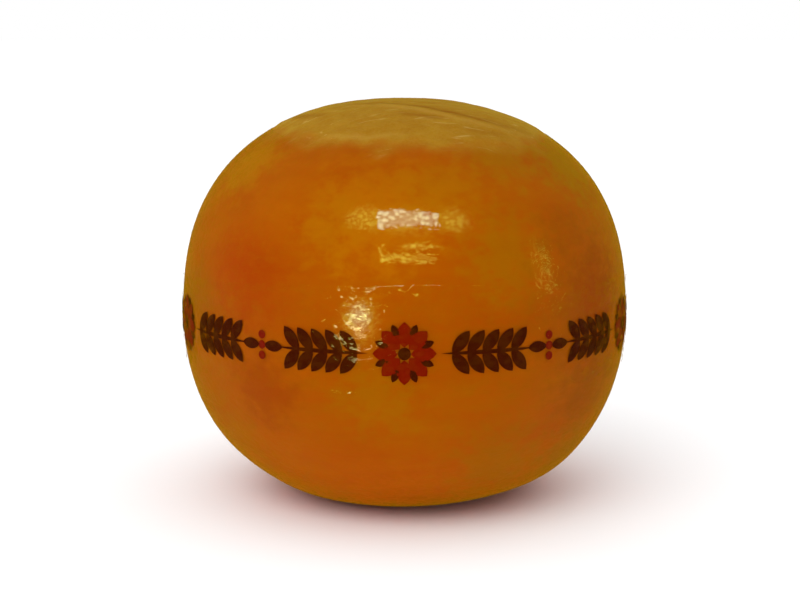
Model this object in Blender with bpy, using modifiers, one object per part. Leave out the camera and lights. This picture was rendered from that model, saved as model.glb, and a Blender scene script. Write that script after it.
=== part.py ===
"""A film-wrapped ball of cheese with a printed band of clear film round its middle.

Metres, +Z up. The ball stands on its flattened foot, the foot's centre is the origin,
and the print's face looks along -Y.
"""

import math

import bmesh
import bpy

# The ball: two unlike halves that meet at its widest level, its girth
GIRTH_RADIUS = 0.0743
CROWN_RISE = 0.0704  # from the girth up to the top
CROWN_SIDE_POWER = 2.34  # how square the crown is sideways, 2 being round
CROWN_TOP_POWER = 2.40  # how flat the crown's top is
FOOT_DROP = 0.0623  # from the girth down to where the lower half would close
FOOT_SIDE_POWER = 3.05
FOOT_END_POWER = 2.00
FOOT_SOLE_RADIUS = 0.0265  # the flat that the ball has sunk onto
FOOT_SHOULDER = 0.0004  # how softly the flat runs out into the ball

# The band of film: how far it reaches above and below the girth, and its wall
BAND_ABOVE = 0.0170
BAND_BELOW = 0.0150
BAND_WALL = 0.0004
BAND_GAP = 0.0003  # air between the ball and the band
BAND_FLARE = 0.0004  # how far the band's two edges stand off further than its middle

# How the soft cheese has sagged while it lay: its sole and its crown have crept to the
# left, the flank above the sole bulges to the right, and its outline is a little lobed
SOLE_CREEP = 0.0016
SOLE_CREEP_RISE = 0.0050
FLANK_BULGE = 0.0008
FLANK_LEVEL = 0.0100
FLANK_RISE = 0.0070
CROWN_CREEP = 0.0008
CROWN_CREEP_POWER = 30  # how close to the top the crown starts to creep
LOBES = ((2, 0.0040, 0.7), (3, 0.0022, 2.1), (5, 0.0010, 4.0))  # count, depth, turn
LOBE_FADE = 0.0150  # the lobes grow from nothing at the sole over this height
LOBE_TWIST = 0.5  # how far each lobe leans round the ball on its way up

TURN_STEPS = 72
CROWN_STEPS = 13
FOOT_STEPS = 13
SOLE_STEPS = 2
SOLE_EDGE_SHARE = 0.93  # where the quite flat part of the sole starts
BAND_STEPS = 6


def closing_level(radius):
    """How far below the girth the lower half lies at a radius, before it is flattened."""
    share = 1.0 - (radius / GIRTH_RADIUS) ** FOOT_SIDE_POWER
    return FOOT_DROP * share ** (1.0 / FOOT_END_POWER)


GIRTH_LEVEL = closing_level(FOOT_SOLE_RADIUS)  # the girth's height over the sole


def softened(level):
    """A level over the sole's plane, run out softly into the plane itself."""
    near = max(FOOT_SHOULDER - abs(level), 0.0) / FOOT_SHOULDER
    return max(level, 0.0) + near * near * FOOT_SHOULDER / 4.0


def crown_outline():
    """(radius, height) points from the top of the ball down to just above its girth."""
    points = []
    for step in range(CROWN_STEPS):
        turn = math.pi / 2.0 * (1.0 - step / CROWN_STEPS)
        radius = GIRTH_RADIUS * max(math.cos(turn), 0.0) ** (2.0 / CROWN_SIDE_POWER)
        rise = CROWN_RISE * math.sin(turn) ** (2.0 / CROWN_TOP_POWER)
        points.append((radius if step else 0.0, GIRTH_LEVEL + rise))
    return points


def foot_outline():
    """(radius, height) points from the girth down to the edge of the sole."""
    points = []
    last_turn = math.asin((GIRTH_LEVEL / FOOT_DROP) ** (FOOT_END_POWER / 2.0))
    for step in range(FOOT_STEPS):
        turn = last_turn * step / FOOT_STEPS
        radius = GIRTH_RADIUS * math.cos(turn) ** (2.0 / FOOT_SIDE_POWER)
        drop = FOOT_DROP * math.sin(turn) ** (2.0 / FOOT_END_POWER)
        points.append((radius, softened(GIRTH_LEVEL - drop)))
    return points


def sole_outline():
    """(radius, height) points across the flat sole, from just inside its edge to the axis."""
    edge = FOOT_SOLE_RADIUS * SOLE_EDGE_SHARE
    return [(edge * (1.0 - step / SOLE_STEPS), 0.0) for step in range(SOLE_STEPS + 1)]


def ball_radius(height):
    """The ball's radius at a height over the sole, away from the sole itself."""
    rise = height - GIRTH_LEVEL
    if rise >= 0.0:
        share = 1.0 - (rise / CROWN_RISE) ** CROWN_TOP_POWER
        return GIRTH_RADIUS * share ** (1.0 / CROWN_SIDE_POWER)
    share = 1.0 - (-rise / FOOT_DROP) ** FOOT_END_POWER
    return GIRTH_RADIUS * share ** (1.0 / FOOT_SIDE_POWER)


def band_outline():
    """The band's closed section: down its outer side, then back up its inner side."""
    outer = []
    inner = []
    for step in range(BAND_STEPS + 1):
        height = GIRTH_LEVEL + BAND_ABOVE - (BAND_ABOVE + BAND_BELOW) * step / BAND_STEPS
        edgeward = abs(2.0 * step / BAND_STEPS - 1.0)
        radius = ball_radius(height) + BAND_GAP + BAND_FLARE * edgeward**4
        inner.append((radius, height))
        outer.append((radius + BAND_WALL, height))
    return outer + inner[::-1]


def sagged(x, y, z):
    """Where a point of the evenly turned shape lies on the sagged ball."""
    turn = math.atan2(y, x)
    settled = 1.0 - math.exp(-((z / LOBE_FADE) ** 2))
    swell = 1.0
    for count, depth, start in LOBES:
        drift = LOBE_TWIST * count * z / GIRTH_RADIUS
        swell += settled * depth * math.cos(count * turn + start + drift)
    crown = CROWN_CREEP * (z / (GIRTH_LEVEL + CROWN_RISE)) ** CROWN_CREEP_POWER
    creep = -crown - SOLE_CREEP * math.exp(-((z / SOLE_CREEP_RISE) ** 2))
    bulge = FLANK_BULGE * math.exp(-(((z - FLANK_LEVEL) / FLANK_RISE) ** 2))
    return x * swell + creep + bulge, y * swell, z


def turned(name, outline, closed, collection):
    """A solid turned round the Z axis from its outline, then sagged as the ball is."""
    profile = bmesh.new()
    corners = [profile.verts.new((radius, 0.0, height)) for radius, height in outline]
    for start, end in zip(corners, corners[1:]):
        profile.edges.new((start, end))
    if closed:
        profile.edges.new((corners[-1], corners[0]))
    mesh = bpy.data.meshes.new(name)
    profile.to_mesh(mesh)
    profile.free()
    guide = bpy.data.objects.new(name + "_profile", mesh)
    collection.objects.link(guide)
    screw = guide.modifiers.new("Turn", "SCREW")
    screw.axis = "Z"
    screw.angle = math.tau
    screw.steps = TURN_STEPS
    screw.render_steps = TURN_STEPS
    screw.use_merge_vertices = True
    screw.merge_threshold = 0.00001
    screw.use_normal_calculate = True
    graph = bpy.context.evaluated_depsgraph_get()
    solid = bpy.data.meshes.new_from_object(guide.evaluated_get(graph))
    bpy.data.objects.remove(guide)
    for vertex in solid.vertices:
        vertex.co = sagged(*vertex.co)
    piece = bpy.data.objects.new(name, solid)
    collection.objects.link(piece)
    solid.shade_smooth()
    solid.set_sharp_from_angle(angle=math.radians(35.0))
    return piece


def finish(name, colour, roughness):
    """A plain Principled finish."""
    material = bpy.data.materials.new(name)
    material.use_nodes = True
    shader = material.node_tree.nodes["Principled BSDF"]
    shader.inputs["Base Color"].default_value = (*colour, 1.0)
    shader.inputs["Roughness"].default_value = roughness
    shader.inputs["Metallic"].default_value = 0.0
    return material


def cheese_ball(collection):
    """The cheese in its clinging film, one solid."""
    outline = crown_outline() + foot_outline() + sole_outline()
    ball = turned("cheese_ball", outline, False, collection)
    ball.data.materials.append(finish("wrapped_rind", (0.45, 0.15, 0.005), 0.35))
    return ball


def print_band(collection):
    """The printed film band, a thin open ring that hugs the ball's girth."""
    band = turned("print_band", band_outline(), True, collection)
    band.data.materials.append(finish("printed_film", (0.40, 0.12, 0.02), 0.25))
    return band


def build():
    for old in list(bpy.data.objects):
        bpy.data.objects.remove(old)
    parts = bpy.data.collections.new("ball_of_cheese")
    bpy.context.scene.collection.children.link(parts)
    cheese_ball(parts)
    print_band(parts)


build()
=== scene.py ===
"""The looks of a ball of cheese: its coloured rind, the clear film that clings to it,
and a band of printed film round its middle.

Metres, +Z up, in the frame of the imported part. The print's face looks along -Y, and
bearings are angles round the ball from that face, growing towards +X.
"""

import math

import bmesh
import bpy
from mathutils import Matrix, Vector, noise
from mathutils.bvhtree import BVHTree


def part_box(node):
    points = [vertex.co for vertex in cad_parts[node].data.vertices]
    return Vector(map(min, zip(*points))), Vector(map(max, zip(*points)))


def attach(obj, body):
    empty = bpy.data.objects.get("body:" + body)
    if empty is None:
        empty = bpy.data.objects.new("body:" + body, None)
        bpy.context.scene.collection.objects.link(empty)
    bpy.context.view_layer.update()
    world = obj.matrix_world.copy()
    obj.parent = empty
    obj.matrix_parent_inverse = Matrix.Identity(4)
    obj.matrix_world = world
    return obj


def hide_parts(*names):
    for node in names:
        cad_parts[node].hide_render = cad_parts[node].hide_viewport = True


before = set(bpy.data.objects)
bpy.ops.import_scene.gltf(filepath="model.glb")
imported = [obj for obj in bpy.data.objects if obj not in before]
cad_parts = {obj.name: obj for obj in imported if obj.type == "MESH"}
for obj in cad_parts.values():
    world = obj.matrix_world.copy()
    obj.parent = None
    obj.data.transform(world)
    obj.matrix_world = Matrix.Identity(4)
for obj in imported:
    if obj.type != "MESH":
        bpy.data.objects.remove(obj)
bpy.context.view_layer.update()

MM = 0.001
BALL, BAND = "cheese_ball", "print_band"
ball_low, ball_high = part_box(BALL)
band_low, band_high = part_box(BAND)

# Sizes of the ball
GIRTH_RADIUS = (ball_high.x - ball_low.x) / 2.0
GIRTH_LEVEL = (band_low.z + band_high.z) / 2.0 - 1.0 * MM
MIDDLE = Vector((0.0, 0.0, GIRTH_LEVEL))
WELD = 0.001 * MM

# The film stops short of the top and of the sole, and leaves the rind bare there
CROWN_OPENING = {"centre": Vector((2.0, -2.5, 0.0)) * MM, "radius": 45.5 * MM}
SOLE_OPENING = {"centre": Vector((0.0, 0.0, 0.0)) * MM, "radius": 33.0 * MM}

# Folds pressed into the bare crown: a line in plan, height and width in millimetres, and
# how strong the painted shade on its far side and the painted highlight on its near side are
CROWN_FOLDS = (
    (((-22, -10), (-9, -15), (0, -20), (8, -24), (17, -27), (28, -27), (44, -20)), 0.45, 1.8, 1.0, 0.7),
    (((-3, -31), (5, -31), (13, -32)), 0.12, 1.5, 0.6, 0.1),
    (((-28, -34), (-19, -38), (-11, -41), (2, -42)), 0.15, 1.6, 0.1, 0.6),
    (((-44, 10), (-40, -2), (-35, -12), (-26, -22)), 0.22, 1.6, 0.8, 0.2),
    (((-36, 4), (-22, 12), (-8, 17), (6, 18), (20, 14), (34, 13)), 0.35, 1.9, 0.8, 0.6),
    (((-6, 8), (8, 5), (20, 2), (33, -5), (42, -6)), 0.18, 1.7, 0.4, 0.4),
    (((-38, 18), (-24, 26), (-10, 32), (6, 33), (22, 28)), 0.22, 1.7, 0.5, 0.3),
    (((-26, -4), (-16, -1), (-4, -3)), 0.12, 1.6, 0.3, 0.3),
    (((16, -39), (26, -37), (35, -32)), 0.10, 2.2, 0.3, 0.0),
)
CROWN_GRAIN = math.radians(-14.0)

# Where the wrap lies slack: bearing in degrees, height and reach in millimetres
LOOSE_PLACES = ((36.0, 76.0, 15.0), (-95.0, 88.0, 14.0), (140.0, 60.0, 16.0), (-160.0, 92.0, 12.0))
FILM_LAP_LEVEL = 35.0 * MM

# How far each layer lies off the cheese
WRAP_LIFT = 0.08 * MM
INK_LIFT = 0.30 * MM
BAND_LIFT = 0.42 * MM

# How fine each shell is
RIND_CUTS = 127
WRAP_TURNS, WRAP_ROWS = 480, 200
BAND_TURNS, BAND_ROWS = 760, 64


# ---------------------------------------------------------------- shapes

def smooth_form(node, levels=2):
    """A CAD node's shape with its facets rounded off, as a tree to cast rays on."""
    cast = bmesh.new()
    cast.from_mesh(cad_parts[node].data)
    bmesh.ops.remove_doubles(cast, verts=cast.verts, dist=10.0 * WELD)
    bmesh.ops.join_triangles(
        cast, faces=cast.faces, angle_face_threshold=0.7, angle_shape_threshold=0.7
    )
    mesh = bpy.data.meshes.new("form")
    cast.to_mesh(mesh)
    cast.free()
    guide = bpy.data.objects.new("form", mesh)
    bpy.context.scene.collection.objects.link(guide)
    rounding = guide.modifiers.new("Rounding", "SUBSURF")
    rounding.levels = levels
    rounding.render_levels = levels
    tree = BVHTree.FromObject(guide, bpy.context.evaluated_depsgraph_get())
    bpy.data.objects.remove(guide)
    return tree


form = smooth_form(BALL)


def bearing_way(bearing):
    """The level direction that a bearing points in."""
    return Vector((math.sin(bearing), -math.cos(bearing), 0.0))


def bearing_of(point):
    return math.atan2(point.x, -point.y)


def on_ball(way):
    """Where a ray from the ball's middle leaves the cheese, and the way out there."""
    point, normal, _, _ = form.ray_cast(MIDDLE, way)
    return point, normal


def at_height(bearing, height):
    """The cheese's surface at a bearing and a height, and the way out there."""
    start = Vector((0.0, 0.0, height))
    point, normal, _, _ = form.ray_cast(start, bearing_way(bearing))
    return point, normal


def eased(value):
    """A value held between 0 and 1, easing in and out."""
    held = min(max(value, 0.0), 1.0)
    return held * held * (3.0 - 2.0 * held)


def waves(point, size, seed=0.0):
    """Smooth noise from -1 to 1, with swells of about a given size."""
    return noise.noise(point / size + Vector((seed, 1.7 * seed, -2.3 * seed)))


def opening_reach(opening, bearing):
    """How far from the Z axis the film's edge lies at a bearing."""
    way = bearing_way(bearing)
    along = way.dot(opening["centre"])
    across = opening["centre"].length_squared - along * along
    reach = along + math.sqrt(opening["radius"] ** 2 - across)
    wander = waves(way, 0.45, 3.1) * 1.6 * MM + waves(way, 0.12, 5.2) * 0.45 * MM
    return reach + wander


def inside_opening(opening, point):
    """How far inside the film's edge a point lies, in metres."""
    return opening_reach(opening, bearing_of(point)) - math.hypot(point.x, point.y)


def edge_tilt(opening, bearing, upward):
    """The angle from straight up of the film's edge, seen from the ball's middle."""
    foot = bearing_way(bearing) * opening_reach(opening, bearing)
    start = foot + Vector((0.0, 0.0, ball_high.z * 2.0 if upward else -ball_high.z))
    down = Vector((0.0, 0.0, -1.0 if upward else 1.0))
    point = form.ray_cast(start, down)[0]
    return (point - MIDDLE).angle(Vector((0.0, 0.0, 1.0)))


def reach_to_fold(point, path):
    """The distance in plan to a fold's line, signed to tell its sides, and its fullness."""
    nearest, side, along = 1.0, 1.0, 0.0
    flat = Vector((point.x, point.y))
    for step, (start, end) in enumerate(zip(path, path[1:])):
        run = Vector(end) * MM - Vector(start) * MM
        off = flat - Vector(start) * MM
        share = min(max(off.dot(run) / run.length_squared, 0.0), 1.0)
        away = off - run * share
        if away.length < nearest:
            nearest = away.length
            side = 1.0 if run.x * away.y - run.y * away.x > 0.0 else -1.0
            along = (step + share) / (len(path) - 1)
    return nearest * side, math.sin(math.pi * along) ** 0.7


def crown_fold(point):
    """How far the crown's pressed folds rise at a point, and the light and shade painted along them from -1 to 1:
    painted shade on a fold's far side above 0, a painted highlight on its near side below 0.
    """
    rise, shade = 0.0, 0.0
    shaken = point + Vector((0.0, waves(point, 5.0 * MM, 51.0), 0.0)) * 1.2 * MM
    for path, height, width, dark, pale in CROWN_FOLDS:
        reach, fullness = reach_to_fold(shaken, path)
        reach /= width * MM
        if abs(reach) < 5.0:
            rise += fullness * height * MM * math.exp(-reach * reach)
            # Painted shade on the fold's far side and a painted highlight on its near side
            shade += fullness * dark * math.exp(-(((reach - 1.5) / 1.2) ** 2))
            shade -= fullness * pale * math.exp(-(((reach + 0.7) / 0.8) ** 2))
    return rise, shade


def rind_relief(point):
    """How far the rind stands out at a point: soft dents, and wrinkles where it is bare."""
    relief = waves(point, 30.0 * MM, 1.0) * 0.16 * MM
    relief += waves(point, 9.0 * MM, 2.0) * 0.015 * MM
    bare = eased(inside_opening(CROWN_OPENING, point) / (3.0 * MM))
    if bare > 0.0 and point.z > GIRTH_LEVEL:
        relief += bare * (crown_wrinkles(point) + crown_fold(point)[0])
    return relief


def crown_wrinkles(point):
    """The cloth creases and ridges pressed into the bare crown."""
    turned = Matrix.Rotation(CROWN_GRAIN, 3, "Z") @ Vector((point.x, point.y, 0.0))
    drawn = Vector((turned.x * 0.25, turned.y, 0.0))
    crease = 1.0 - abs(waves(drawn, 7.0 * MM, 8.0)) * 2.0
    fine = waves(drawn, 2.8 * MM, 9.0)
    thread = max(1.0 - abs(waves(drawn, 4.0 * MM, 12.0)) * 3.0, 0.0)
    return (crease * 0.12 + fine * 0.08 + thread * 0.15) * MM


def film_relief(point, size, depth, seed):
    """How far a film lifts off what it clings to: soft folds, mostly level ones."""
    drawn = Vector((point.x, point.y, point.z * 1.8))
    fold = 1.0 - abs(waves(drawn, size, seed)) * 2.4
    return max(fold, 0.0) ** 2 * depth + waves(drawn, size * 0.45, seed + 1) * depth * 0.2


def new_piece(name, shell, material, slot, *nodes):
    """Turns a finished shell into a piece of the object that rides on the ball's body."""
    mesh = bpy.data.meshes.new(name)
    shell.to_mesh(mesh)
    shell.free()
    mesh.shade_smooth()
    piece = bpy.data.objects.new(name, mesh)
    bpy.context.scene.collection.objects.link(piece)
    mesh.materials.append(material)
    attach(piece, "root")
    if nodes:
        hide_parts(*nodes)
    return piece


def make_rind(material):
    """The cheese itself: a cube's faces swollen evenly onto the ball's form."""
    shell = bmesh.new()
    bmesh.ops.create_cube(shell, size=2.0)
    bmesh.ops.subdivide_edges(
        shell, edges=shell.edges, cuts=RIND_CUTS, use_grid_fill=True
    )
    bare = shell.verts.layers.float.new("bare_rind")
    fold = shell.verts.layers.float.new("painted_fold_shading")
    for vertex in shell.verts:
        way = Vector([math.tan(part * math.pi / 4.0) for part in vertex.co]).normalized()
        point, normal = on_ball(way)
        inside = inside_opening(CROWN_OPENING, point) if point.z > GIRTH_LEVEL else -1.0
        vertex[bare] = eased(inside / (10.0 * MM) + 0.5 + 0.30 * waves(point, 6.0 * MM, 7.0))
        # Light and shade painted along the crown's folds
        if vertex[bare] > 0.0:
            vertex[fold] = crown_fold(point)[1]
        settled = eased(point.z / (6.0 * MM))
        vertex.co = point + normal * rind_relief(point) * settled
        vertex.co.z = max(vertex.co.z, 0.0)
    bmesh.ops.recalc_face_normals(shell, faces=shell.faces)
    return new_piece("rind", shell, material, "wrapped_rind", BALL)


def spun_sheet(turns, rows):
    """A tube of square faces round Z whose radius is 1, running from height 1 down to 0."""
    shell = bmesh.new()
    corners = [shell.verts.new((0.0, -1.0, 1.0 - row / rows)) for row in range(rows + 1)]
    lines = [shell.edges.new(pair) for pair in zip(corners, corners[1:])]
    bmesh.ops.spin(
        shell,
        geom=corners + lines,
        cent=(0.0, 0.0, 0.0),
        axis=(0.0, 0.0, 1.0),
        angle=math.tau,
        steps=turns,
        use_merge=True,
    )
    return shell


def loose_film(point):
    """How slack the wrap is at a point, from 0 to 1."""
    slack = 0.0
    for bearing, height, reach in LOOSE_PLACES:
        way = bearing_way(math.radians(bearing)) * GIRTH_RADIUS
        place = Vector((way.x, way.y, height * MM))
        slack = max(slack, eased(1.5 - (point - place).length / (reach * MM)))
    return slack


def film_lap(point):
    """The low ridge where the wrap laps over itself under the band."""
    reach = point.z - FILM_LAP_LEVEL - waves(bearing_way(bearing_of(point)), 0.5, 41.0) * 2.5 * MM
    return math.exp(-((reach / (1.2 * MM)) ** 2)) * 0.10 * MM


def make_wrap(material):
    """The clear film over the cheese, from the edge at the crown to the edge at the sole."""
    shell = spun_sheet(WRAP_TURNS, WRAP_ROWS)
    looseness = shell.verts.layers.float.new("film_slack")
    tilts = {}
    for vertex in shell.verts:
        bearing = bearing_of(vertex.co)
        key = round(bearing, 5)
        if key not in tilts:
            tilts[key] = (
                edge_tilt(CROWN_OPENING, bearing, True),
                edge_tilt(SOLE_OPENING, bearing, False),
            )
        high, low = tilts[key]
        share = vertex.co.z
        tilt = low + (high - low) * share
        way = bearing_way(bearing) * math.sin(tilt) + Vector((0, 0, math.cos(tilt)))
        point, normal = on_ball(way)
        settled = eased(point.z / (6.0 * MM))
        near_edge = max(0.0, 1.0 - (1.0 - share) * WRAP_ROWS / 7.0)
        pleat = near_edge * max(waves(way * 0.6, 0.02, 6.0), 0.0) * 0.10 * MM
        slack = loose_film(point)
        lift = WRAP_LIFT + film_relief(point, 9.0 * MM, 0.02 * MM, 11.0) * settled + pleat
        lift += slack * film_relief(point, 5.0 * MM, 0.09 * MM, 31.0) + film_lap(point)
        vertex.co = point + normal * (rind_relief(point) * settled + lift)
        vertex.co.z = max(vertex.co.z, 0.02 * MM)
        vertex[looseness] = max(slack, 0.6 * near_edge)
    bmesh.ops.recalc_face_normals(shell, faces=shell.faces)
    return new_piece("wrap_film", shell, material, "wrapped_rind", BALL)


def band_point(bearing, height, lift):
    """A point of the band: over the cheese, with the band's own folds."""
    point, normal = at_height(bearing, height)
    out = Vector((normal.x, normal.y, normal.z * 0.5)).normalized()
    folds = film_relief(point, 6.0 * MM, 0.06 * MM, 21.0)
    return point + out * (rind_relief(point) + folds + lift)


BAND_PRINT_LEVEL = GIRTH_LEVEL - 0.6 * MM


def band_edges(bearing):
    """The heights of the band's lower and upper edges at a bearing."""
    way = bearing_way(bearing)
    front = max(math.cos(bearing), 0.0)
    upper = band_high.z - 4.4 * MM + 7.2 * MM * front + waves(way, 0.4, 12.0) * 0.8 * MM
    lower = band_low.z + 1.2 * MM * front + waves(way, 0.4, 14.0) * 0.8 * MM
    return lower, upper


def edge_bead(bearing, depth_in):
    """How far the film's rolled edge stands out, at a depth in from the edge."""
    fullness = 0.7 + 0.9 * waves(bearing_way(bearing), 0.035, 17.0)
    bead = math.exp(-(((depth_in - 0.40 * MM) / (0.30 * MM)) ** 2)) * 0.20 * MM
    return bead * min(max(fullness, 0.25), 1.2)


def make_band(material):
    """The printed band's clear film, with rolled edges that stand off the ball a little."""
    shell = spun_sheet(BAND_TURNS, BAND_ROWS)
    for vertex in shell.verts:
        bearing = bearing_of(vertex.co)
        lower, upper = band_edges(bearing)
        share = 0.5 - 0.5 * math.cos(math.pi * vertex.co.z)
        height = lower + (upper - lower) * share
        depth_in = (upper - lower) * min(share, 1.0 - share)
        flare = math.exp(-depth_in / (2.0 * MM)) * waves(bearing_way(bearing), 0.15, 4.0)
        lift = BAND_LIFT + max(flare, 0.0) * 0.5 * MM + edge_bead(bearing, depth_in)
        vertex.co = band_point(bearing, height, lift)
    bmesh.ops.recalc_face_normals(shell, faces=shell.faces)
    return new_piece("band_film", shell, material, "printed_film", BAND)


# ---------------------------------------------------------------- print

REPEATS = 5
ROSETTE_REACH = 9.6 * MM
SPRIG_LENGTH = 30.0 * MM
SPRIG_LEAVES = 5
LEAF = (8.6 * MM, 3.9 * MM)


def add_leaf(ink, centre, length, width, turn):
    """A pointed oval of ink, flat in X and Z, lying along a turn from +X."""
    made = bmesh.ops.create_grid(ink, x_segments=8, y_segments=4, size=0.5)["verts"]
    for vertex in made:
        full = max(1.0 - (2.0 * vertex.co.x) ** 2, 0.0) ** 0.85
        vertex.co = Vector((vertex.co.x * length, 0.0, vertex.co.y * width * full))
    spin = Matrix.Rotation(-turn, 4, "Y")
    bmesh.ops.transform(ink, matrix=Matrix.Translation(centre) @ spin, verts=made)


def add_dot(ink, centre, radius):
    """A round dot of ink, flat in X and Z."""
    made = bmesh.ops.create_circle(ink, cap_ends=True, cap_tris=True, segments=24, radius=radius)
    spin = Matrix.Rotation(math.pi / 2.0, 4, "X")
    bmesh.ops.transform(ink, matrix=Matrix.Translation(centre) @ spin, verts=made["verts"])


def flower_petals(ink, middle):
    """Eight petals round a middle."""
    for petal in range(8):
        turn = petal * math.tau / 8
        centre = middle + Vector((math.cos(turn), 0.0, math.sin(turn))) * 0.60 * ROSETTE_REACH
        add_leaf(ink, centre, 0.80 * ROSETTE_REACH, 4.6 * MM, turn)


def flower_heart(ink, middle):
    """The flower's heart and the narrow sepals between its petals."""
    add_dot(ink, middle, 1.9 * MM)
    for sepal in range(8):
        turn = (sepal + 0.5) * math.tau / 8
        centre = middle + Vector((math.cos(turn), 0.0, math.sin(turn))) * 0.76 * ROSETTE_REACH
        add_leaf(ink, centre, 0.46 * ROSETTE_REACH, 2.2 * MM, turn)


def leaf_sprig(ink, start, side):
    """Pairs of leaves on a stem that runs to one side, and a leaf at its tip."""
    add_leaf(ink, start + Vector((side * SPRIG_LENGTH * 0.5, 0, 0)), SPRIG_LENGTH, 1.3 * MM, 0.0)
    for leaf in range(SPRIG_LEAVES):
        root = start + Vector((side * SPRIG_LENGTH * (0.12 + 0.78 * leaf / SPRIG_LEAVES), 0, 0))
        for rise in (-1.0, 1.0):
            lean = Vector((side * 2.5 * MM, 0.0, rise * 3.2 * MM))
            turn = math.atan2(lean.z, lean.x)
            add_leaf(ink, root + lean, *LEAF, turn)
    tip = start + Vector((side * (SPRIG_LENGTH + 1.5 * MM), 0, 0))
    add_leaf(ink, tip, 7.0 * MM, 3.4 * MM, 0.0)


def berries(ink, middle):
    """Three berries between the tips of two sprigs."""
    for rise in (-3.2, 0.0, 3.2):
        add_dot(ink, middle + Vector((0.0, 0.0, rise * MM)), 1.35 * MM)


def wrapped_print(name, material, drawing):
    """Lays a flat drawing of ink, repeated, on the ball inside the band's film."""
    ink = bmesh.new()
    girth = math.tau * GIRTH_RADIUS
    for repeat in range(REPEATS):
        drawing(ink, girth * repeat / REPEATS)
    bmesh.ops.remove_doubles(ink, verts=ink.verts, dist=5.0 * WELD)
    for vertex in ink.verts:
        bearing = vertex.co.x / GIRTH_RADIUS
        vertex.co = band_point(bearing, BAND_PRINT_LEVEL + vertex.co.z, INK_LIFT)
    bmesh.ops.recalc_face_normals(ink, faces=ink.faces)
    return new_piece(name, ink, material, "printed_film", BAND)


def red_drawing(ink, start):
    flower_petals(ink, Vector((start, 0, 0)))
    berries(ink, Vector((start + math.pi * GIRTH_RADIUS / REPEATS, 0, 0)))


def brown_drawing(ink, start):
    flower_heart(ink, Vector((start, 0, 0)))
    for side in (-1.0, 1.0):
        leaf_sprig(ink, Vector((start + side * (ROSETTE_REACH + 1.2 * MM), 0, 0)), side)


# ---------------------------------------------------------------- finishes

GLEAM_TINT = (0.90, 1.0, 0.82)
PRINT_GLEAM_TINT = (1.0, 0.78, 0.68)
FILM_IOR = 1.6


def node_of(tree, kind, **sockets):
    """A node with its sockets set by name, where a socket name's spaces are underscores."""
    node = tree.nodes.new(kind)
    for name, value in sockets.items():
        node.inputs[name.replace("_", " ")].default_value = value
    return node


def new_group(name, inputs, outputs):
    """An empty node group with float inputs and the given outputs, and its two ends."""
    tree = bpy.data.node_groups.new(name, "ShaderNodeTree")
    for label, value in inputs:
        socket = tree.interface.new_socket(label, in_out="INPUT", socket_type="NodeSocketFloat")
        socket.default_value = value
    for label in outputs:
        tree.interface.new_socket(label, in_out="OUTPUT", socket_type="NodeSocketFloat")
    return tree, tree.nodes.new("NodeGroupInput"), tree.nodes.new("NodeGroupOutput")


def math_node(tree, operation, first, second=None, clamp=False):
    """A Math node's output, from sockets or numbers."""
    node = tree.nodes.new("ShaderNodeMath")
    node.operation = operation
    node.use_clamp = clamp
    for socket, value in zip(node.inputs, (first, second)):
        if isinstance(value, bpy.types.NodeSocket):
            tree.links.new(value, socket)
        elif value is not None:
            socket.default_value = value
    return node.outputs[0]


def crinkle_group():
    """Clinging film: its crinkles as a height, and a mask of where it lies off the rind."""
    tree, source, result = new_group(
        "film_crinkle",
        [("Size", 1.5 * MM), ("Drawn Out", 1.5), ("Pocket", 1.8 * MM), ("Least", 0.3)],
        ["Height", "Gap"],
    )
    place = tree.nodes.new("ShaderNodeTexCoord")
    squash = tree.nodes.new("ShaderNodeCombineXYZ")
    squash.inputs["X"].default_value = 1.0
    squash.inputs["Y"].default_value = 1.0
    tree.links.new(source.outputs["Drawn Out"], squash.inputs["Z"])
    drawn = tree.nodes.new("ShaderNodeVectorMath")
    drawn.operation = "MULTIPLY"
    tree.links.new(place.outputs["Object"], drawn.inputs[0])
    tree.links.new(squash.outputs["Vector"], drawn.inputs[1])
    scale = math_node(tree, "DIVIDE", 1.0, source.outputs["Size"])
    lumps = node_of(tree, "ShaderNodeTexNoise", Detail=2.0, Roughness=0.5, Distortion=0.3)
    tree.links.new(drawn.outputs["Vector"], lumps.inputs["Vector"])
    tree.links.new(scale, lumps.inputs["Scale"])
    folds = node_of(tree, "ShaderNodeTexNoise", Detail=1.0, Roughness=0.5, Distortion=0.8)
    tree.links.new(drawn.outputs["Vector"], folds.inputs["Vector"])
    tree.links.new(math_node(tree, "MULTIPLY", scale, 0.3), folds.inputs["Scale"])
    centred = math_node(tree, "SUBTRACT", folds.outputs["Fac"], 0.5)
    ridge = math_node(tree, "ABSOLUTE", centred)
    ridge = math_node(tree, "MULTIPLY", ridge, -3.0)
    both = math_node(tree, "ADD", lumps.outputs["Fac"], ridge)
    tree.links.new(both, result.inputs["Height"])
    pocket_scale = math_node(tree, "DIVIDE", 1.0, source.outputs["Pocket"])
    bubbles = node_of(tree, "ShaderNodeTexVoronoi", Randomness=1.0)
    bubbles.feature = "F1"
    patches = node_of(tree, "ShaderNodeTexNoise", Detail=1.5, Roughness=0.55, Distortion=0.6)
    for texture, share in ((bubbles, 1.0), (patches, 0.55)):
        tree.links.new(drawn.outputs["Vector"], texture.inputs["Vector"])
        tree.links.new(math_node(tree, "MULTIPLY", pocket_scale, share), texture.inputs["Scale"])
    uneven = math_node(tree, "MULTIPLY_ADD", patches.outputs["Fac"], -1.3)
    uneven.node.inputs[2].default_value = 0.65
    rim = math_node(tree, "ADD", bubbles.outputs["Distance"], uneven)
    open_gap = node_of(tree, "ShaderNodeMapRange", From_Min=0.60, From_Max=0.28)
    open_gap.interpolation_type = "SMOOTHSTEP"
    tree.links.new(source.outputs["Least"], open_gap.inputs["To Min"])
    tree.links.new(rim, open_gap.inputs["Value"])
    tree.links.new(open_gap.outputs["Result"], result.inputs["Gap"])
    return tree


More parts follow.
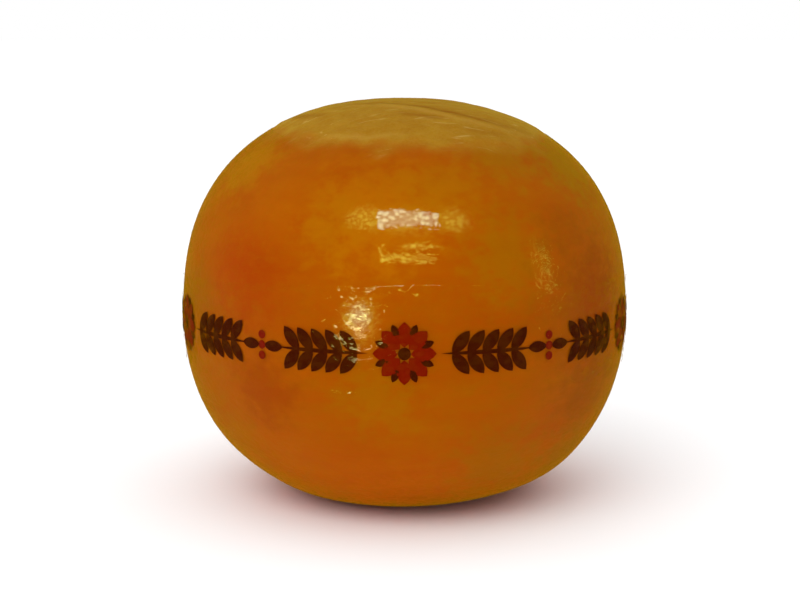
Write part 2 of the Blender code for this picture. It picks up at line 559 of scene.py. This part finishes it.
def mottle_group():
    """Soft uneven patches from 0 to 1, at two sizes."""
    tree, source, result = new_group("mottle", [("Size", 25.0 * MM)], ["Broad", "Fine", "Streaks"])
    place = tree.nodes.new("ShaderNodeTexCoord")
    scale = math_node(tree, "DIVIDE", 1.0, source.outputs["Size"])
    kinds = (("Broad", 1.0, 2.0, 1.6), ("Fine", 6.0, 3.0, 1.4), ("Streaks", 1.1, 2.0, 5.0))
    for label, finer, detail, flatness in kinds:
        drawn = tree.nodes.new("ShaderNodeVectorMath")
        drawn.operation = "MULTIPLY"
        drawn.inputs[1].default_value = (1.0, 1.0, flatness)
        tree.links.new(place.outputs["Object"], drawn.inputs[0])
        patch = node_of(tree, "ShaderNodeTexNoise", Detail=detail, Roughness=0.6)
        tree.links.new(drawn.outputs["Vector"], patch.inputs["Vector"])
        tree.links.new(math_node(tree, "MULTIPLY", scale, finer), patch.inputs["Scale"])
        spread = node_of(tree, "ShaderNodeMapRange", From_Min=0.3, From_Max=0.7)
        tree.links.new(patch.outputs["Fac"], spread.inputs["Value"])
        tree.links.new(spread.outputs["Result"], result.inputs[label])
    return tree


def pale_streak_group():
    """Thin pale streaks, broken into dashes and drawn out along the crown's grain."""
    tree, source, result = new_group("pale_streaks", [("Size", 7.0 * MM), ("Thin", 0.016)], ["Mask"])
    place = tree.nodes.new("ShaderNodeTexCoord")
    turned = tree.nodes.new("ShaderNodeVectorRotate")
    turned.rotation_type = "Z_AXIS"
    turned.inputs["Angle"].default_value = CROWN_GRAIN
    tree.links.new(place.outputs["Object"], turned.inputs["Vector"])
    drawn = tree.nodes.new("ShaderNodeVectorMath")
    drawn.operation = "MULTIPLY"
    drawn.inputs[1].default_value = (0.16, 1.0, 1.0)
    tree.links.new(turned.outputs["Vector"], drawn.inputs[0])
    scale = math_node(tree, "DIVIDE", 1.0, source.outputs["Size"])
    lines = node_of(tree, "ShaderNodeTexNoise", Detail=1.0, Roughness=0.5, Distortion=0.4)
    breaks = node_of(tree, "ShaderNodeTexNoise", Detail=2.0, Roughness=0.6)
    for texture, finer in ((lines, 1.0), (breaks, 4.0)):
        tree.links.new(drawn.outputs["Vector"], texture.inputs["Vector"])
        tree.links.new(math_node(tree, "MULTIPLY", scale, finer), texture.inputs["Scale"])
    away = math_node(tree, "ABSOLUTE", math_node(tree, "SUBTRACT", lines.outputs["Fac"], 0.5))
    line = node_of(tree, "ShaderNodeMapRange", From_Max=0.0)
    tree.links.new(source.outputs["Thin"], line.inputs["From Min"])
    tree.links.new(away, line.inputs["Value"])
    dash = node_of(tree, "ShaderNodeMapRange", From_Min=0.50, From_Max=0.62)
    tree.links.new(breaks.outputs["Fac"], dash.inputs["Value"])
    mask = math_node(tree, "MULTIPLY", line.outputs["Result"], dash.outputs["Result"])
    tree.links.new(mask, result.inputs["Mask"])
    return tree


CRINKLE = crinkle_group()
PALE_STREAKS = pale_streak_group()
MOTTLE = mottle_group()


def use_group(tree, group, **values):
    node = tree.nodes.new("ShaderNodeGroup")
    node.node_tree = group
    for name, value in values.items():
        node.inputs[name.replace("_", " ")].default_value = value
    return node


def new_finish(name):
    """A material with an empty tree and its output."""
    material = bpy.data.materials.new(name)
    material.use_nodes = True
    tree = material.node_tree
    tree.nodes.clear()
    return material, tree, tree.nodes.new("ShaderNodeOutputMaterial")


def blend_colour(tree, factor, first, second):
    """Two colours, or colour sockets, mixed by a factor."""
    node = tree.nodes.new("ShaderNodeMix")
    node.data_type = "RGBA"
    factor_in, first_in, second_in = node.inputs[0], node.inputs[6], node.inputs[7]
    for socket, value in ((factor_in, factor), (first_in, first), (second_in, second)):
        if isinstance(value, bpy.types.NodeSocket):
            tree.links.new(value, socket)
        else:
            socket.default_value = value if socket is factor_in else (*value, 1.0)
    return node.outputs[2]


def spot(tree, centre, radius, uneven):
    """A soft round patch from 0 to 1 about a place on the ball, with an uneven outline."""
    place = tree.nodes.new("ShaderNodeTexCoord")
    away = tree.nodes.new("ShaderNodeVectorMath")
    away.operation = "DISTANCE"
    away.inputs[1].default_value = centre
    tree.links.new(place.outputs["Object"], away.inputs[0])
    shaken = math_node(tree, "MULTIPLY", uneven, radius * 0.7)
    distance = math_node(tree, "ADD", away.outputs["Value"], shaken)
    fade = node_of(tree, "ShaderNodeMapRange", From_Min=radius * 1.5, From_Max=radius * 0.5)
    fade.interpolation_type = "SMOOTHSTEP"
    tree.links.new(distance, fade.inputs["Value"])
    return fade.outputs["Result"]


# The rind's orange by height, from the sole to the crown, with painted light and shade in it:
# lighter near the sole and towards the crown and darker round the girth, to even out how the lamps fall
RIND_LEVELS_WITH_PAINTED_LIGHT = (
    (0.00, (0.74, 0.030, 0.0002)),
    (0.08, (0.54, 0.096, 0.0002)),
    (0.255, (0.365, 0.078, 0.0002)),
    (0.275, (0.365, 0.092, 0.0002)),
    (0.50, (0.355, 0.074, 0.0002)),
    (0.70, (0.45, 0.100, 0.0004)),
    (0.90, (0.53, 0.122, 0.0004)),
)

# Bearing, height over the girth, reach, strength and tint of the rind's uneven patches;
# some are painted shade: the darker patches on the right side, at bearings 46 to 56, and the small
# redder patch just under the crown's edge at the front
RIND_PATCHES_WITH_PAINTED_SHADE = (
    (-64.0, 8.0, 18.0, 0.70, (0.325, 0.095, 0.0004)),
    (-47.0, 22.0, 17.0, 0.62, (0.41, 0.038, 0.0004)),
    (-37.0, 18.0, 18.0, 0.70, (0.39, 0.044, 0.0004)),
    (-36.0, -15.0, 16.0, 0.75, (0.32, 0.044, 0.0004)),
    (-61.0, 52.0, 15.0, 0.75, (0.48, 0.175, 0.0008)),
    (-35.0, 45.0, 20.0, 0.50, (0.48, 0.108, 0.0008)),
    (-7.0, 40.0, 24.0, 0.70, (0.51, 0.150, 0.0010)),
    (-7.0, -14.0, 15.0, 0.52, (0.36, 0.130, 0.0006)),
    (26.0, 27.0, 18.0, 0.70, (0.38, 0.128, 0.0006)),
    (50.0, 6.0, 32.0, 0.65, (0.30, 0.066, 0.0004)),
    (56.0, 11.0, 17.0, 0.85, (0.31, 0.039, 0.0004)),
    (63.0, 51.0, 18.0, 0.85, (0.39, 0.158, 0.0008)),
    (34.0, 55.0, 14.0, 0.75, (0.41, 0.148, 0.0008)),
    (46.0, 30.0, 14.0, 0.50, (0.33, 0.066, 0.0004)),
    (52.0, -17.0, 18.0, 0.55, (0.265, 0.050, 0.0004)),
    (28.0, -40.0, 20.0, 0.60, (0.33, 0.112, 0.0004)),
    (54.0, -40.0, 16.0, 0.50, (0.27, 0.100, 0.0004)),
    (-52.0, -34.0, 14.0, 0.50, (0.38, 0.110, 0.0004)),
    (-20.0, 36.0, 13.0, 0.50, (0.46, 0.150, 0.0008)),
    (11.0, 48.0, 16.0, 0.65, (0.46, 0.150, 0.0008)),
    (6.0, 57.0, 9.0, 0.30, (0.50, 0.080, 0.0005)),
    (100.0, 24.0, 18.0, 0.60, (0.39, 0.060, 0.0005)),
    (128.0, -14.0, 22.0, 0.50, (0.38, 0.110, 0.0006)),
    (150.0, 22.0, 24.0, 0.60, (0.42, 0.052, 0.0005)),
    (180.0, 44.0, 20.0, 0.50, (0.49, 0.140, 0.0008)),
    (-140.0, -12.0, 22.0, 0.50, (0.43, 0.115, 0.0008)),
    (-112.0, 30.0, 20.0, 0.60, (0.40, 0.050, 0.0005)),
)


def fill_ramp(ramp, steps):
    """Gives a colour ramp its steps."""
    while len(ramp.elements) < len(steps):
        ramp.elements.new(1.0)
    for element, (place, colour) in zip(ramp.elements, steps):
        element.position = place
        element.color = (*colour, 1.0)


def rind_finish():
    """Orange rind, redder and yellower in patches, and dull ochre where it is bare; light and shade are painted
    into its orange by height, into some of its patches and along the crown's folds.
    """
    material, tree, output = new_finish("orange_rind")
    shader = node_of(
        tree,
        "ShaderNodeBsdfPrincipled",
        IOR=1.45,
        Specular_IOR_Level=0.06,
        Subsurface_Weight=0.15,
        Subsurface_Radius=(1.0, 0.35, 0.05),
        Subsurface_Scale=4.0 * MM,
        Specular_Tint=(1.0, 0.65, 0.02, 1.0),
        Sheen_Weight=0.30,
        Sheen_Roughness=0.30,
        Sheen_Tint=(1.0, 0.80, 0.02, 1.0),
    )
    mottle = use_group(tree, MOTTLE, Size=34.0 * MM)
    place = tree.nodes.new("ShaderNodeTexCoord")
    level = tree.nodes.new("ShaderNodeSeparateXYZ")
    tree.links.new(place.outputs["Object"], level.inputs[0])
    # Orange by height, with painted light and shade in it
    levels_with_painted_light = tree.nodes.new("ShaderNodeValToRGB")
    fill_ramp(levels_with_painted_light.color_ramp, RIND_LEVELS_WITH_PAINTED_LIGHT)
    tree.links.new(math_node(tree, "DIVIDE", level.outputs["Z"], ball_high.z), levels_with_painted_light.inputs[0])
    tender = math_node(tree, "MULTIPLY", mottle.outputs["Broad"], 0.45)
    orange = blend_colour(tree, tender, levels_with_painted_light.outputs["Color"], (0.44, 0.135, 0.0008))
    streaks = math_node(tree, "MULTIPLY", mottle.outputs["Streaks"], 0.40)
    orange = blend_colour(tree, streaks, orange, (0.39, 0.052, 0.0005))
    fine = math_node(tree, "MULTIPLY", mottle.outputs["Fine"], 0.35)
    orange = blend_colour(tree, fine, orange, (0.43, 0.056, 0.0005))
    # Uneven patches, among them painted shade on the right side and under the crown's edge
    for bearing, height, radius, share, tint in RIND_PATCHES_WITH_PAINTED_SHADE:
        centre = at_height(math.radians(bearing), GIRTH_LEVEL + height * MM)[0]
        patch = spot(tree, centre, radius * MM, mottle.outputs["Fine"])
        orange = blend_colour(tree, math_node(tree, "MULTIPLY", patch, share), orange, tint)
    bare = tree.nodes.new("ShaderNodeAttribute")
    bare.attribute_name = "bare_rind"
    ochre = blend_colour(tree, mottle.outputs["Fine"], (0.51, 0.260, 0.014), (0.46, 0.200, 0.006))
    # Painted shade on each crown fold's far side and a painted highlight on its near side
    fold = tree.nodes.new("ShaderNodeAttribute")
    fold.attribute_name = "painted_fold_shading"
    painted_fold_shade = math_node(tree, "MULTIPLY", fold.outputs["Fac"], 0.90, clamp=True)
    painted_fold_highlight = math_node(tree, "MULTIPLY", fold.outputs["Fac"], -0.60, clamp=True)
    grain = use_group(tree, MOTTLE, Size=6.0 * MM)
    dusty = math_node(tree, "MULTIPLY", grain.outputs["Fine"], 0.35)
    ochre = blend_colour(tree, dusty, ochre, (0.60, 0.34, 0.05))
    dulled = math_node(tree, "MULTIPLY", grain.outputs["Broad"], 0.35)
    ochre = blend_colour(tree, dulled, ochre, (0.38, 0.145, 0.004))
    ochre = blend_colour(tree, painted_fold_shade, ochre, (0.33, 0.100, 0.002))
    ochre = blend_colour(tree, painted_fold_highlight, ochre, (0.60, 0.36, 0.06))
    pale_streaks = use_group(tree, PALE_STREAKS)
    streaked = math_node(tree, "MULTIPLY", pale_streaks.outputs["Mask"], 0.50)
    ochre = blend_colour(tree, streaked, ochre, (0.72, 0.47, 0.12))
    colour = blend_colour(tree, bare.outputs["Fac"], orange, ochre)
    tree.links.new(colour, shader.inputs["Base Color"])
    rough = math_node(tree, "MULTIPLY_ADD", bare.outputs["Fac"], 0.25)
    rough.node.inputs[2].default_value = 0.40
    tree.links.new(rough, shader.inputs["Roughness"])
    crinkle = use_group(tree, CRINKLE, Size=1.6 * MM)
    bump = node_of(tree, "ShaderNodeBump", Distance=0.05 * MM)
    tree.links.new(crinkle.outputs["Height"], bump.inputs["Height"])
    tree.links.new(bump.outputs["Normal"], shader.inputs["Normal"])
    tree.links.new(shader.outputs["BSDF"], output.inputs["Surface"])
    return material


def gleam_tint(tree):
    """The film's gleam, warmer at the level of the print."""
    place = tree.nodes.new("ShaderNodeTexCoord")
    level = tree.nodes.new("ShaderNodeSeparateXYZ")
    tree.links.new(place.outputs["Object"], level.inputs[0])
    above = math_node(tree, "SUBTRACT", level.outputs["Z"], BAND_PRINT_LEVEL)
    reach = math_node(tree, "ABSOLUTE", above)
    near = node_of(tree, "ShaderNodeMapRange", From_Min=10.0 * MM, From_Max=6.0 * MM)
    tree.links.new(reach, near.inputs["Value"])
    return blend_colour(tree, near.outputs["Result"], GLEAM_TINT, PRINT_GLEAM_TINT)


def film_finish(name, size, depth, pocket, least):
    """Clear film: open but for a gleam, stronger where it is seen edge-on or lies loose."""
    material, tree, output = new_finish(name)
    shader = node_of(
        tree,
        "ShaderNodeBsdfPrincipled",
        Metallic=1.0,
        Roughness=0.04,
    )
    tree.links.new(gleam_tint(tree), shader.inputs["Base Color"])
    crinkle = use_group(tree, CRINKLE, Size=size, Pocket=pocket, Least=least)
    slack = tree.nodes.new("ShaderNodeAttribute")
    slack.attribute_name = "film_slack"
    looser = math_node(tree, "MULTIPLY_ADD", slack.outputs["Fac"], 5.0)
    looser.node.inputs[2].default_value = 1.0
    bump = node_of(tree, "ShaderNodeBump", Distance=depth)
    tree.links.new(
        math_node(tree, "MULTIPLY", crinkle.outputs["Height"], looser), bump.inputs["Height"]
    )
    tree.links.new(bump.outputs["Normal"], shader.inputs["Normal"])
    gleam = node_of(tree, "ShaderNodeFresnel", IOR=FILM_IOR)
    tree.links.new(bump.outputs["Normal"], gleam.inputs["Normal"])
    side = tree.nodes.new("ShaderNodeNewGeometry")
    outer = math_node(tree, "SUBTRACT", 1.0, side.outputs["Backfacing"])
    shown = math_node(tree, "MULTIPLY", gleam.outputs["Fac"], outer)
    shown = math_node(tree, "MULTIPLY", shown, crinkle.outputs["Gap"])
    tree.links.new(shown, shader.inputs["Alpha"])
    tree.links.new(shader.outputs["BSDF"], output.inputs["Surface"])
    return material


def ink_finish(name, dense, thin):
    """Printing ink, a little uneven in how thickly it lies."""
    material, tree, output = new_finish(name)
    shader = node_of(
        tree,
        "ShaderNodeBsdfPrincipled",
        IOR=1.45,
        Specular_IOR_Level=0.20,
        Roughness=0.4,
        Specular_Tint=(1.0, 0.40, 0.02, 1.0),
    )
    mottle = use_group(tree, MOTTLE, Size=8.0 * MM)
    colour = blend_colour(tree, mottle.outputs["Fine"], dense, thin)
    tree.links.new(colour, shader.inputs["Base Color"])
    crinkle = use_group(tree, CRINKLE, Size=1.6 * MM)
    bump = node_of(tree, "ShaderNodeBump", Distance=0.04 * MM)
    tree.links.new(crinkle.outputs["Height"], bump.inputs["Height"])
    tree.links.new(bump.outputs["Normal"], shader.inputs["Normal"])
    tree.links.new(shader.outputs["BSDF"], output.inputs["Surface"])
    return material


# ---------------------------------------------------------------- studio

VIEW_DISTANCE = 0.600
VIEW_RISE = math.radians(10.0)
VIEW_AIM = Vector((-1.5, 0.0, 2.9)) * MM
LENS_MM = 80.0
PALE = (0.76, 1.0, 0.94)
STRAW = (0.80, 1.0, 0.12)
MILKY = (0.80, 0.84, 0.84)


def make_camera():
    """A long lens a little above the ball, looking at its printed face."""
    camera = bpy.data.objects.new("camera", bpy.data.cameras.new("camera"))
    bpy.context.scene.collection.objects.link(camera)
    camera.data.lens = LENS_MM
    camera.data.sensor_width = 36.0
    camera.data.clip_start = 0.01
    back = Vector((0.0, -math.cos(VIEW_RISE), math.sin(VIEW_RISE)))
    camera.location = MIDDLE + back * VIEW_DISTANCE
    aim = MIDDLE + VIEW_AIM - camera.location
    camera.rotation_euler = aim.to_track_quat("-Z", "Y").to_euler()
    bpy.context.scene.camera = camera


def soften_light(lamp):
    """Fades an ellipse light from its middle out to its rim."""
    lamp.use_nodes = True
    tree = lamp.node_tree
    across = tree.nodes.new("ShaderNodeNewGeometry")
    away = tree.nodes.new("ShaderNodeVectorMath")
    away.operation = "DISTANCE"
    away.inputs[1].default_value = (0.5, 0.5, 0.0)
    tree.links.new(across.outputs["Parametric"], away.inputs[0])
    fade = node_of(tree, "ShaderNodeMapRange", From_Min=0.5, From_Max=0.1)
    fade.interpolation_type = "SMOOTHSTEP"
    tree.links.new(away.outputs["Value"], fade.inputs["Value"])
    tree.links.new(fade.outputs["Result"], tree.nodes["Emission"].inputs["Strength"])


def make_light(name, bearing, rise, distance, width, height, radiance, kind, colour=(1, 1, 1)):
    """A flat light that faces the ball, with a width and height in degrees seen from it."""
    across = 2.0 * distance * math.tan(math.radians(width) / 2.0)
    tall = 2.0 * distance * math.tan(math.radians(height) / 2.0)
    lamp = bpy.data.lights.new(name, "AREA")
    lamp.shape = "ELLIPSE" if kind == "glow" else "RECTANGLE"
    lamp.size = across
    lamp.size_y = tall
    lamp.energy = radiance * math.pi * across * tall
    lamp.color = colour
    light = bpy.data.objects.new(name, lamp)
    bpy.context.scene.collection.objects.link(light)
    way = bearing_way(math.radians(bearing)) * math.cos(math.radians(rise))
    way.z = math.sin(math.radians(rise))
    light.location = MIDDLE + way * distance
    light.rotation_euler = way.to_track_quat("Z", "Y").to_euler()
    light.visible_camera = False
    light.visible_glossy = kind != "fill"
    light.visible_diffuse = kind == "fill"
    if kind == "glow":
        soften_light(lamp)
    return light


def make_floor():
    """A wide pale floor."""
    floor = bmesh.new()
    bmesh.ops.create_grid(floor, x_segments=1, y_segments=1, size=6.0)
    mesh = bpy.data.meshes.new("floor")
    floor.to_mesh(mesh)
    floor.free()
    ground = bpy.data.objects.new("floor", mesh)
    bpy.context.scene.collection.objects.link(ground)
    ground.visible_glossy = False
    material, tree, output = new_finish("pale_floor")
    shader = node_of(
        tree, "ShaderNodeBsdfDiffuse", Color=(0.95, 0.95, 0.95, 1.0), Roughness=0.0
    )
    tree.links.new(shader.outputs["BSDF"], output.inputs["Surface"])
    mesh.materials.append(material)
    return ground


def make_world():
    """An even white room, dim and warm where the film mirrors it."""
    world = bpy.data.worlds.new("studio")
    bpy.context.scene.world = world
    world.use_nodes = True
    tree = world.node_tree
    ray = tree.nodes.new("ShaderNodeLightPath")
    place = tree.nodes.new("ShaderNodeTexCoord")
    level = tree.nodes.new("ShaderNodeSeparateXYZ")
    tree.links.new(place.outputs["Generated"], level.inputs[0])
    height = node_of(tree, "ShaderNodeMapRange", From_Min=-0.5, From_Max=0.3)
    tree.links.new(level.outputs["Z"], height.inputs["Value"])
    mirrored = blend_colour(tree, height.outputs["Result"], ROOM_BELOW, ROOM_ABOVE)
    lit = blend_colour(tree, ray.outputs["Is Camera Ray"], (ROOM_GLOW,) * 3, (1.0,) * 3)
    room = blend_colour(tree, ray.outputs["Is Glossy Ray"], lit, mirrored)
    tree.links.new(room, tree.nodes["Background"].inputs["Color"])
    world.cycles.sampling_method = "NONE"


ROOM_GLOW = 0.50
ROOM_ABOVE = (0.30, 0.17, 0.0)
ROOM_BELOW = (0.26, 0.12, 0.0)


def light_floor_only(floor):
    """An even, very soft light from straight above that falls on the floor alone."""
    lamp = bpy.data.lights.new("floor_wash", "SUN")
    lamp.energy = 0.58 * math.pi
    lamp.angle = math.radians(120.0)
    light = bpy.data.objects.new("floor_wash", lamp)
    bpy.context.scene.collection.objects.link(light)
    light.visible_glossy = False
    washed = bpy.data.collections.new("washed")
    washed.objects.link(floor)
    light.light_linking.receiver_collection = washed


def make_studio():
    make_world()
    light_floor_only(make_floor())
    make_light("window", 0.5, 49.0, 1.6, 28.5, 10.0, 6.7, "glint", PALE)
    make_light("window_left", -32.0, 47.0, 1.7, 21.0, 22.0, 2.5, "glow", STRAW)
    make_light("window_right", 33.0, 46.5, 1.7, 21.0, 22.0, 2.4, "glow", STRAW)
    make_light("window_glow", 0.0, 47.5, 1.8, 58.0, 24.0, 1.8, "glow", STRAW)
    make_light("low_window", 1.0, 25.0, 1.6, 28.0, 4.0, 5.0, "glint", STRAW)
    make_light("low_window_top", 7.0, 31.5, 1.6, 28.0, 4.5, 4.5, "glow", STRAW)
    make_light("low_window_side", -14.5, 28.0, 1.6, 1.2, 8.0, 4.0, "glint", STRAW)
    make_light("left_glow", -22.0, -0.5, 0.45, 13.0, 12.0, 5.0, "glow", MILKY)
    make_light("left_haze", -22.0, -1.0, 0.46, 22.0, 18.0, 4.0, "glow", STRAW)
    make_light("right_glow", 77.0, 12.0, 1.5, 10.0, 30.0, 2.0, "glow", STRAW)
    make_light("key", -30.0, 38.0, 2.0, 45.0, 40.0, 1.9, "fill")
    make_camera()
    settings = bpy.context.scene.view_settings
    settings.view_transform = "Standard"
    settings.look = "None"


make_rind(rind_finish())
make_wrap(film_finish("clear_wrap", 1.2 * MM, 0.011 * MM, 1.7 * MM, 0.38))
make_band(film_finish("clear_band", 3.4 * MM, 0.340 * MM, 3.0 * MM, 0.12))
wrapped_print("brown_print", ink_finish("brown_ink", (0.040, 0.0015, 0.0), (0.056, 0.004, 0.0005)), brown_drawing)
wrapped_print("red_print", ink_finish("red_ink", (0.175, 0.002, 0.0), (0.20, 0.004, 0.0005)), red_drawing)
make_studio()
